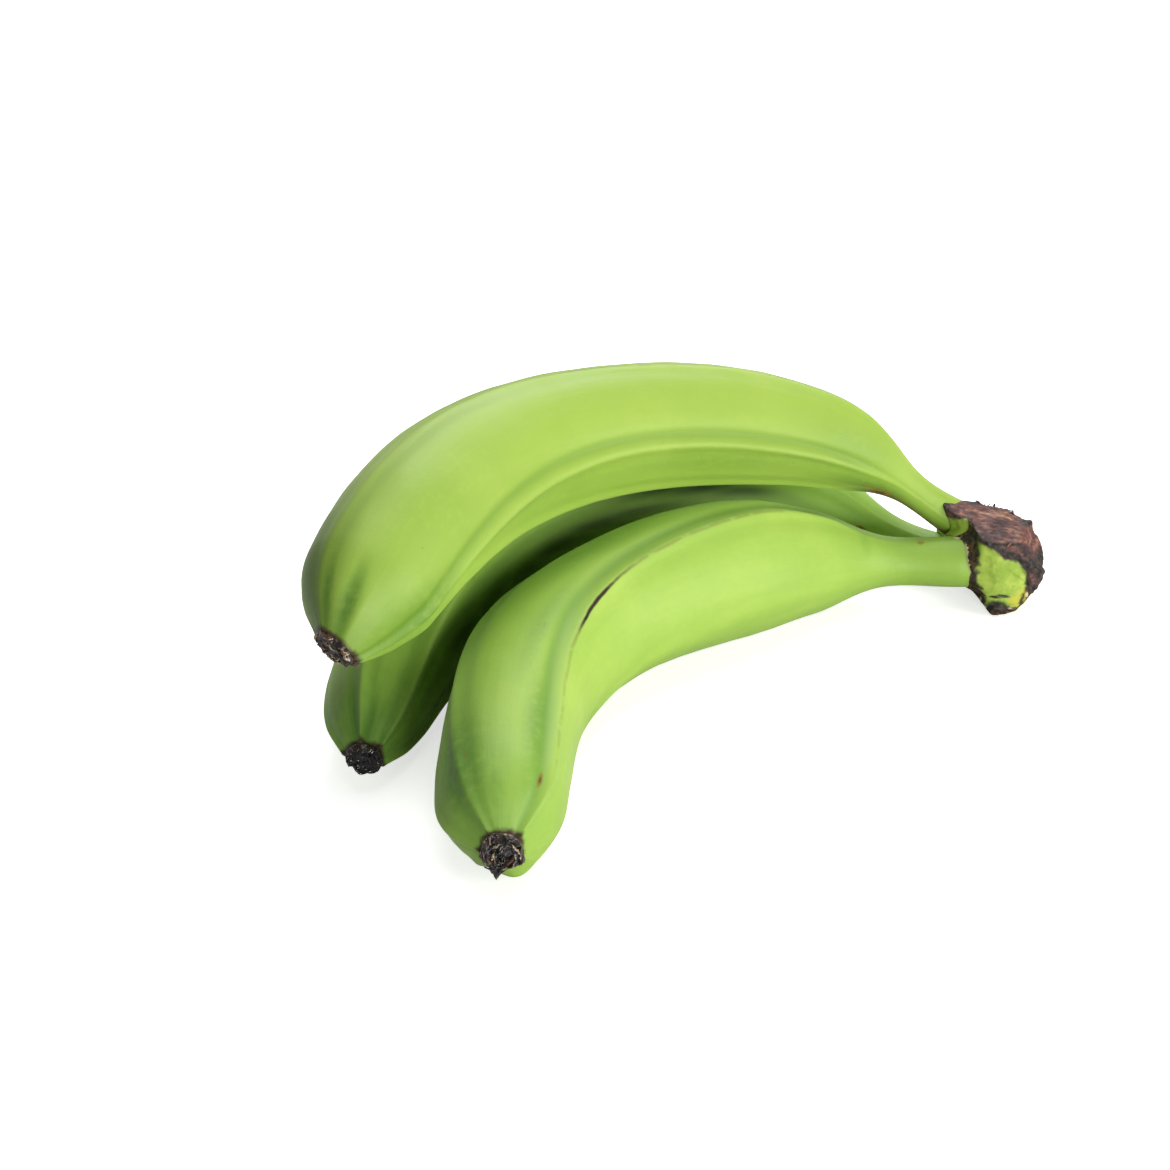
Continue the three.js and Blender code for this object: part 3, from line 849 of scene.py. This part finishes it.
def crownZones(points, direction, dryWeight):
    # how far each point belongs to the fresh cut, the dried cut, the brown rim and each kind of mark,
    # and how near it is to an edge, to the outline and to the dried cut's border: all from 0 to 1
    look = crownLook
    lookFrom = np.array(look["lookFrom"])
    turnedTo = outwardOf(points, direction) @ lookFrom
    facing = fade(turnedTo, -0.1, 0.15)
    rightwards = np.cross([0, 0, 1], lookFrom)
    rightwards /= np.linalg.norm(rightwards)
    x = (points - look["middle"]) @ rightwards
    y = (points - look["middle"]) @ np.cross(lookFrom, rightwards)
    sway = layered(points, look["borderSway"], 61)
    above = y - np.interp(x, *look["driedBorder"])
    depth = insideCorners(x, y, look["freshCorners"]) + 0.7 * sway
    edge = 4 * dryWeight * (1 - dryWeight)
    zones = dict(x=x, y=y, facing=facing, edge=edge, border=bell(above / 0.6) * facing)
    for kind, places in look["marks"].items():
        spots = [bell(np.hypot((x - mx) / width, (y - my) / height)) for mx, my, width, height in places]
        zones[kind] = np.max(spots, axis=0) * fade(turnedTo, -0.5, -0.1)

    dried = facing * fade(above + 0.8 * sway, -0.2, 0.3)
    dried += (1 - facing) * fade(dryWeight + 0.2 * sway, 0.4, 0.6)
    fresh = fade(depth, -0.15, 0.3) * facing * (1 - dried)
    rim = facing * fade(x - np.interp(y, *look["rimBorder"]) + 0.5 * sway, -0.3, 0.3)
    rim = np.maximum(rim, (1 - facing) * fade(edge + 0.4 * sway, 0.5, 0.9)) * (1 - fresh) * (1 - dried)
    outline = bell(turnedTo / 0.3) * dried * (1 - 0.6 * fade(x, 6, 9))
    scorchAbove, scorchWide = look["scorch"]
    scorch = bell((above - scorchAbove) / scorchWide) * fade(x, -5.5, -2.5) * facing
    freshEdge = bell(depth / 0.7) * fade(lumps(points, 1.3, 71), -0.8, 0.3) * facing * (1 - dried)
    zones["charred"] = np.max([
        1.3 * zones["char"],
        0.95 * scorch,
        0.8 * outline * fade(lumps(points, 1.6, 68), -0.5, 0.3),
        0.8 * edge * dried,
        0.75 * freshEdge,
    ], axis=0)
    zones.update(dried=dried, fresh=fresh, rim=rim, outline=outline)
    return zones


def crownRelief(points, zones):
    # the height of a point over the body: fibres run across the dried cut, its border and outline
    # stand up torn, and the fresh cut and the rim are a little uneven
    look = crownLook
    fibres = lumps(points * [0.5, 1, 1], 0.9, 65) + 0.6 * lumps(points * [0.6, 1, 1], 0.45, 66)
    torn = look["tornOutline"] * zones["outline"] + look["tornBorder"] * zones["border"]
    torn = torn + look["tornEdge"] * zones["edge"]
    relief = torn * (look["tornLift"] + layered(points, look["tearing"], 63))
    relief += (look["fibreHeight"] * fibres + layered(points, look["driedRelief"], 72)) * zones["dried"]
    relief += layered(points, look["freshRelief"], 67, 2) * zones["fresh"]
    relief += layered(points, look["rimRelief"], 70) * zones["rim"]
    relief -= look["charSink"] * zones["char"] * (1 - zones["dried"])
    return relief + look["peakHeight"] * zones["peak"]


def crownShells():
    # the body with its relief and a collar that runs out along each stalk, then the flakes
    look = crownLook
    direction, points, dryWeight = crownBody()
    zones = crownZones(points, direction, dryWeight)
    points = points + direction * crownRelief(points, zones)[..., None]
    for banana, rise, width in look["collars"]:
        base, ahead = (value[0] for value in middleLine(banana, np.zeros(1))[:2])
        offset = points - base
        forward = offset @ ahead
        radial = np.linalg.norm(offset - forward[..., None] * ahead, axis=-1)
        collar = bell(np.maximum(radial - banana["girth"][0], 0) / width)
        collar = collar * fade(direction @ ahead, 0.0, 0.3)
        points = points + ahead * (rise * collar)[..., None]
        if banana is frontBanana:  # a pale strip along the edge of this collar
            paleStrip = fade(collar, 0.7, 0.9) * fade(np.abs(zones["y"] - look["paleStripAt"]), *look["paleStripReach"])
            zones["bone"] = np.maximum(zones["bone"], 0.9 * paleStrip * zones["facing"])
    points[..., 2] = np.maximum(points[..., 2], peel["belly"] + 0.3)
    values = {kind: zones[kind] for kind in ("fresh", "rim", "dried", "gold", "bone")}
    values["char"] = zones["charred"]
    shells = [dict(grid=points, first=points[0].mean(0), last=points[-1].mean(0), values=values)]

    # small torn flakes along the edges of the dried cut
    random = np.random.default_rng(look["seed"])
    ragged = np.max([zones["edge"], zones["outline"], zones["border"]], axis=0) > 0.75
    rows, columns = np.nonzero((zones["dried"] > 0.5) & ragged & (zones["x"] < look["flakesLeftOf"]))
    chosen = random.choice(len(rows), look["flakes"], replace=False)
    for i, j in zip(rows[chosen], columns[chosen]):
        away = direction[i, j]
        sideways = np.cross(away, random.normal(size=3))
        sideways /= np.linalg.norm(sideways)
        t = np.linspace(-0.5, 0.5, 9)[:, None]
        length = random.uniform(*look["flakeLength"])
        lift = random.uniform(*look["flakeLift"])
        path = points[i, j] + sideways * t * length + away * (lift * (t + 0.5) ** 2 + 0.05)
        values = dict(fresh=0.0, rim=0.0, dried=1.0, gold=0.0, bone=0.0, char=random.uniform(0.2, 1))
        width = random.uniform(*look["flakeWidth"])
        shells.append(ribbonShell(path, np.cross(away, sideways), width, look["flakeThickness"], values))
    return shells


crownFinish = dict(
    grainTurn=(0, 0.35, 0),
    grainScale=(1.2, 2.8, 2.8),
    fibreScale=240,
    patchScale=170,
    fineScale=900,
    crackScale=260,
    dried=[(0.3, colour(62, 41, 41)), (0.47, colour(98, 66, 60)), (0.57, colour(124, 82, 73)),
           (0.66, colour(150, 108, 92)), (0.76, colour(186, 144, 112))],
    skin=(colour(122, 150, 54), colour(166, 188, 78)),
    rim=(colour(30, 21, 15), colour(104, 72, 48)),
    fresh=(colour(150, 180, 68), colour(186, 208, 90)),
    crack=colour(116, 122, 40),
    gold=colour(208, 198, 62),
    bone=colour(222, 210, 172),
    char=(colour(26, 23, 22), colour(82, 76, 70)),
    roughness=(0.45, 0.75),
    specular=0.3,
    bumpStrength=0.45,
    bumpHeight=0.0005,
)


def crownMaterial():
    # green skin, then the brown rim, the dried cut and the fresh one, each with its own pattern, and
    # the gold, pale and charred marks over them
    look = crownFinish
    material = bpy.data.materials.new("cutCrown")
    material.use_nodes = True
    tree = material.node_tree
    shader = tree.nodes["Principled BSDF"]
    at = addNode(tree, "TexCoord").outputs["Object"]
    grain = {"Vector": at, "Rotation": look["grainTurn"], "Scale": look["grainScale"]}
    fibres = cloud(tree, addNode(tree, "Mapping", grain).outputs[0], look["fibreScale"], 4, 0.65, 0.5)
    patches = cloud(tree, at, look["patchScale"], 3, 0.6)
    fine = cloud(tree, at, look["fineScale"], 3, 0.6)
    cracks = ramped(tree, cloud(tree, at, look["crackScale"], 3, 0.6, 0.4), 0.56, 0.72)

    skin = mixed(tree, patches, *look["skin"])
    brown = mixed(tree, ramped(tree, fine, 0.35, 0.65), *look["rim"])
    skin = mixed(tree, valueOf(tree, "rim"), skin, brown)
    dried = colourRamp(tree, swayed(tree, swayed(tree, fibres, patches, 1.0), fine, 0.2), look["dried"])
    skin = mixed(tree, valueOf(tree, "dried"), skin, dried)
    flesh = mixed(tree, ramped(tree, patches, 0.35, 0.65), *look["fresh"])
    flesh = mixed(tree, worked(tree, "MULTIPLY", cracks, 0.45), flesh, look["crack"])
    skin = mixed(tree, valueOf(tree, "fresh"), skin, flesh)

    def roughened(name):
        return swayed(tree, swayed(tree, valueOf(tree, name), patches, 0.7), fine, 0.7)

    skin = mixed(tree, ramped(tree, roughened("gold"), 0.3, 0.9, 0.0, 0.7), skin, look["gold"])
    skin = mixed(tree, ramped(tree, roughened("bone"), 0.35, 0.6, 0.0, 0.85), skin, look["bone"])
    black = mixed(tree, ramped(tree, fine, 0.4, 0.7), *look["char"])
    skin = mixed(tree, ramped(tree, roughened("char"), 0.2, 0.85, 0.0, 0.94), skin, black)
    tree.links.new(skin, shader.inputs["Base Color"])
    tree.links.new(ramped(tree, fine, 0.3, 0.7, *look["roughness"]), shader.inputs["Roughness"])
    shader.inputs["Specular IOR Level"].default_value = look["specular"]
    bumpy = worked(tree, "ADD", worked(tree, "MULTIPLY", fibres, 0.6), worked(tree, "MULTIPLY", fine, 0.5))
    bump = {"Height": bumpy, "Strength": look["bumpStrength"], "Distance": look["bumpHeight"]}
    tree.links.new(addNode(tree, "Bump", bump).outputs[0], shader.inputs["Normal"])
    return material


crownPiece = makePiece("cutCrown", crownShells())
finishPiece(crownPiece, "crown", crownMaterial())


# The dried flower ends
flowerEnd = dict(
    rows=130,
    columns=200,
    # from behind, over the rim and into the hollow: a share of the end radius, and a height
    profileAt=[0, 0.15, 0.35, 0.55, 0.7, 0.85, 1],
    profileRadius=[0.8, 0.98, 1.0, 0.84, 0.6, 0.3, 0.03],
    profileHeight=[-0.5, 0.2, 1.2, 1.9, 0.9, 0.7, 1.1],
    fiveLobes=0.05,  # of the radius
    outlineSway=[(2.6, 0.16), (0.9, 0.07)],  # how wide, and how high as a share of the radius
    stripReach=(0.3, 1.0),  # share of the radius
    stripBend=(0.4, 1.6),
    stripLift=(1.0, 1.9),
    stripWander=0.09,
    stripWidth=(0.3, 0.75),
    stripThickness=0.2,
    stripSteps=12,
    redStrips=0.4,  # the share of strips that is reddish
    dripLength=2.3,
    dripWidth=0.33,  # radians
    patchScale=520,
    fineScale=2200,
    bumpHeight=0.0003,
    black=colour(14, 12, 11),
    brown=(colour(60, 38, 26), colour(128, 86, 58)),
    pale=(colour(140, 112, 78), colour(214, 196, 164)),
)


def flowerShells(banana, look):
    # a cup with a torn rim, its profile turned round the banana's end, and curled strips in it. The
    # cup's folds are the absolute value of a smooth random field, so that their crests are sharp
    base, ahead, hollow, above = (value[0] for value in middleLine(banana, np.ones(1)))
    tip = base + ahead * peel["lipInside"][-1][1]
    around = np.linspace(0, 2 * np.pi, flowerEnd["columns"], endpoint=False)[None]
    t = np.linspace(0, 1, flowerEnd["rows"])[:, None]
    endRadius = banana["girth"][-1] * look["spread"]
    radius = endRadius * alongCurve(flowerEnd["profileAt"], flowerEnd["profileRadius"], t)
    height = look["tall"] * alongCurve(flowerEnd["profileAt"], flowerEnd["profileHeight"], t)
    flat = np.stack([np.cos(around) * radius, np.sin(around) * radius, height + 0 * around], -1)
    seed = look["seed"]
    raised = fade(t, 0.1, 0.35)
    sway = layered(flat, flowerEnd["outlineSway"], seed, 6)
    lobes = 1 + raised * (flowerEnd["fiveLobes"] * np.cos(5 * around + seed) + sway)
    folds = 0.5 - np.abs(lumps(flat, 1.5, seed + 1)) * 1.6
    crumple = 0.35 - np.abs(lumps(flat, 0.6, seed + 2))
    rise = look["crag"] * (folds + 0.5 * crumple) + look["lift"] * lumps(flat, 3.2, seed + 3)
    flat = np.stack([flat[..., 0] * lobes, flat[..., 1] * lobes, height + rise * raised], -1)
    if "drip" in look:  # one side of the end is drawn out, beside the banana's tip
        towards = np.radians(look["drip"])
        aside = (around - towards + np.pi) % (2 * np.pi) - np.pi
        drawn = bell(aside / flowerEnd["dripWidth"]) * fade(t, 0.1, 0.4) * fade(t, 0.75, 0.5)
        sideways = np.array([np.cos(towards), np.sin(towards)]) * flowerEnd["dripLength"]
        flat = flat + drawn[..., None] * np.append(sideways, -0.2)
    towards = np.radians(banana["lean"][0])
    lean = banana["lean"][1] * np.array([np.cos(towards), np.sin(towards)])

    def placed(points):
        height = points[..., 2:] + (points[..., :2] @ lean)[..., None]
        return tip + points[..., :1] * above + points[..., 1:2] * hollow + height * ahead

    crest = fade(folds + 0.6 * crumple, 0.3, 0.75)
    bone = crest * fade(lumps(flat, 1.8, seed + 4), look["bare"], look["bare"] + 0.35)
    red = fade(t, 0.62, 0.3) * fade(lumps(flat, 3.0, seed + 7), -0.4, 0.2)
    cup = placed(flat)
    shells = [dict(grid=cup, first=cup[0].mean(0), last=cup[-1].mean(0), values=dict(bone=bone, red=red))]
    random = np.random.default_rng(seed + 5)
    steps = flowerEnd["stripSteps"]
    s = np.linspace(-0.5, 0.5, steps)
    for _ in range(look["strips"]):
        angle = random.uniform(0, 2 * np.pi)
        reach = endRadius * random.uniform(*flowerEnd["stripReach"])
        span = random.uniform(*look["span"])
        bend = random.uniform(*flowerEnd["stripBend"])
        lift = look["tall"] * random.uniform(*flowerEnd["stripLift"])
        path = np.stack([
            reach * np.cos(angle + s * span / reach),
            reach * np.sin(angle + s * span / reach),
            lift + bend * (0.25 - s**2) * 2,
        ], -1)
        path = path + np.cumsum(random.normal(0, flowerEnd["stripWander"], (steps, 3)), 0)
        isPale = random.uniform() < look["pale"]
        isRed = random.uniform() < flowerEnd["redStrips"]
        across = random.normal(size=3)
        width = random.uniform(*flowerEnd["stripWidth"])
        values = dict(bone=float(isPale), red=float(isRed))
        strip = ribbonShell(path, across, width, flowerEnd["stripThickness"], values)
        for key in ("grid", "first", "last"):
            strip[key] = placed(strip[key])
        shells.append(strip)
    return shells


def flowerMaterial(name, look):
    material = bpy.data.materials.new(name)
    material.use_nodes = True
    tree = material.node_tree
    shader = tree.nodes["Principled BSDF"]
    at = addNode(tree, "TexCoord").outputs["Object"]
    coarse = cloud(tree, at, flowerEnd["patchScale"], 3, 0.6)
    fine = cloud(tree, at, flowerEnd["fineScale"], 3, 0.6)
    black = mixed(tree, ramped(tree, coarse, 0.4, 0.7), flowerEnd["black"], look["blackTo"])
    brown = mixed(tree, ramped(tree, fine, 0.35, 0.65), *flowerEnd["brown"])
    pale = mixed(tree, ramped(tree, fine, 0.35, 0.65), *flowerEnd["pale"])
    skin = mixed(tree, worked(tree, "MULTIPLY", valueOf(tree, "red"), look["redness"]), black, brown)
    bare = worked(tree, "MULTIPLY", valueOf(tree, "bone"), ramped(tree, fine, 0.3, 0.5, 0.5, 1.0))
    tree.links.new(mixed(tree, bare, skin, pale), shader.inputs["Base Color"])
    tree.links.new(ramped(tree, coarse, 0.35, 0.65, *look["gloss"]), shader.inputs["Roughness"])
    bump = {"Height": fine, "Strength": look["bump"], "Distance": flowerEnd["bumpHeight"]}
    tree.links.new(addNode(tree, "Bump", bump).outputs[0], shader.inputs["Normal"])
    shader.inputs["Coat Roughness"].default_value = look["coatRoughness"]
    shader.inputs["Coat Weight"].default_value = look["coat"]
    return material


topFlower = dict(
    seed=71,
    strips=16,
    span=(1.2, 3.4),  # how long a strip is
    pale=0.35,  # the share of strips that is pale
    bare=0.0,  # the higher, the fewer pale crests on the cup
    crag=0.75,  # height of the folds
    lift=0.4,  # height of broader swellings
    tall=0.6,  # how tall the profile is
    spread=0.9,  # how wide it is, as a share of the banana's end
    blackTo=colour(50, 38, 32),
    redness=0.9,
    gloss=(0.2, 0.5),
    coat=0.6,
    coatRoughness=0.12,
    bump=0.5,
)
middleFlower = dict(
    topFlower,
    seed=83,
    strips=8,
    pale=0.0,
    bare=1.2,
    crag=0.5,
    tall=0.9,
    spread=0.92,
    blackTo=colour(20, 18, 18),
    redness=0.3,
    gloss=(0.15, 0.35),
    coat=0.45,
    coatRoughness=0.05,
    bump=0.12,
)
frontFlower = dict(
    topFlower,
    seed=97,
    strips=26,
    span=(0.8, 2.6),
    pale=0.25,
    crag=0.85,
    lift=0.5,
    tall=0.85,
    spread=0.96,
    blackTo=colour(52, 44, 40),
    redness=0.5,
    drip=-168,  # the side that is drawn out, in degrees
)

for pieceName, nodeName, banana, look in (
    ("flowerEndTop", "blossom_tip_top", topBanana, topFlower),
    ("flowerEndMiddle", "blossom_tip_middle", middleBanana, middleFlower),
    ("flowerEndFront", "blossom_tip_front", frontBanana, frontFlower),
):
    flowerPiece = makePiece(pieceName, flowerShells(banana, look))
    finishPiece(flowerPiece, nodeName, flowerMaterial(pieceName, look))


# Floor, light and camera
studio = dict(
    floorSize=8.0,  # metres
    floorDrop=0.0002,  # metres that it lies below the fruit
    floorSeen=colour(250, 250, 249),  # what the camera sees
    floorBounce=colour(200, 200, 200),  # what the floor throws back on the fruit, like a grey table
    floorGlow=0.66,
    floorRoughness=0.9,
    skyColour=(0.96, 0.98, 1.0, 1.0),
    skySeen=1.0,
    skyLight=0.14,
    distanceOfLights=1.2,  # metres
    # name, degrees round from the camera's side towards the right, degrees up, diameter, strength, colour
    lights=[
        ("frontRightLight", 64, 11, 0.75, 0.59, (1.0, 0.99, 0.96)),
        ("frontLight", 20, 9, 0.35, 0.47, (1.0, 1.0, 1.0)),
        ("backLight", 168, 42, 0.85, 0.66, (0.98, 0.99, 1.0)),
        ("backLeftLight", 215, 16, 0.9, 0.12, (1.0, 1.0, 1.0)),
        ("overheadLight", 20, 86, 0.85, 0.28, (1.0, 1.0, 1.0)),
    ],
    aim=[-104.8, -39.9, 20.0],  # where the camera looks, in millimetres from the point under the crown
    elevation=29.2,  # degrees
    distance=492.0,  # millimetres
    lens=60.0,
    sensorWidth=36,
    nearest=0.01,  # metres from the camera where what it sees begins
)

aim = (np.array(studio["aim"]) + place) * mm

half = studio["floorSize"] / 2
floorMesh = bpy.data.meshes.new("studioFloor")
floorCorners = ((-half, -half), (half, -half), (half, half), (-half, half))
corners = [(x, y, -studio["floorDrop"]) for x, y in floorCorners]
floorMesh.from_pydata(corners, [], [(0, 1, 2, 3)])
floor = bpy.data.objects.new("studioFloor", floorMesh)
bpy.context.scene.collection.objects.link(floor)
floorMaterial = bpy.data.materials.new("studioFloor")
floorMaterial.use_nodes = True
tree = floorMaterial.node_tree
shader = tree.nodes["Principled BSDF"]
seen = addNode(tree, "LightPath").outputs["Is Camera Ray"]
tree.links.new(mixed(tree, seen, studio["floorBounce"], studio["floorSeen"]), shader.inputs["Base Color"])
tree.links.new(worked(tree, "MULTIPLY", seen, studio["floorGlow"]), shader.inputs["Emission Strength"])
shader.inputs["Emission Color"].default_value = (1, 1, 1, 1)
shader.inputs["Roughness"].default_value = studio["floorRoughness"]
shader.inputs["Specular IOR Level"].default_value = 0.0
floorMesh.materials.append(floorMaterial)

sky = bpy.data.worlds.new("studioSky")
sky.use_nodes = True
background = sky.node_tree.nodes["Background"]
background.inputs["Color"].default_value = studio["skyColour"]
seen = addNode(sky.node_tree, "LightPath").outputs["Is Camera Ray"]
skyValues = {"Value": seen, "To Min": studio["skyLight"], "To Max": studio["skySeen"]}
glow = addNode(sky.node_tree, "MapRange", skyValues)
sky.node_tree.links.new(glow.outputs["Result"], background.inputs["Strength"])
bpy.context.scene.world = sky


def pointAt(thing, location, target):
    # turns a light or a camera so that it looks from its place to the target
    thing.location = location
    away = np.array(location) - np.array(target)
    flat = np.hypot(away[0], away[1])
    thing.rotation_euler = (np.arctan2(flat, away[2]), 0, np.arctan2(away[0], -away[1]))


def direction(around, up):
    # from the fruit, so many degrees round from the camera's side and so many up
    around, up = np.radians([around, up])
    return np.array([np.cos(up) * np.sin(around), -np.cos(up) * np.cos(around), np.sin(up)])


for lightName, around, up, diameter, strength, tint in studio["lights"]:
    lamp = bpy.data.lights.new(lightName, "AREA")
    lamp.shape = "DISK"
    lamp.size = diameter
    # a white surface that faces the lamp then looks as bright as the strength says
    lamp.energy = strength * (np.pi * studio["distanceOfLights"]) ** 2
    lamp.color = tint
    lampObject = bpy.data.objects.new(lightName, lamp)
    bpy.context.scene.collection.objects.link(lampObject)
    pointAt(lampObject, aim + direction(around, up) * studio["distanceOfLights"], aim)

angle = np.radians(studio["elevation"])
cameraData = bpy.data.cameras.new("studioCamera")
cameraData.lens = studio["lens"]
cameraData.sensor_width = studio["sensorWidth"]
cameraData.clip_start = studio["nearest"]
camera = bpy.data.objects.new("studioCamera", cameraData)
bpy.context.scene.collection.objects.link(camera)
back = np.array([0, -np.cos(angle), np.sin(angle)])
pointAt(camera, aim + back * studio["distance"] * mm, aim)
bpy.context.scene.camera = camera
bpy.context.scene.view_settings.view_transform = "Standard"
print(f"floor, sky, {len(studio['lights'])} lights and the camera are in place")
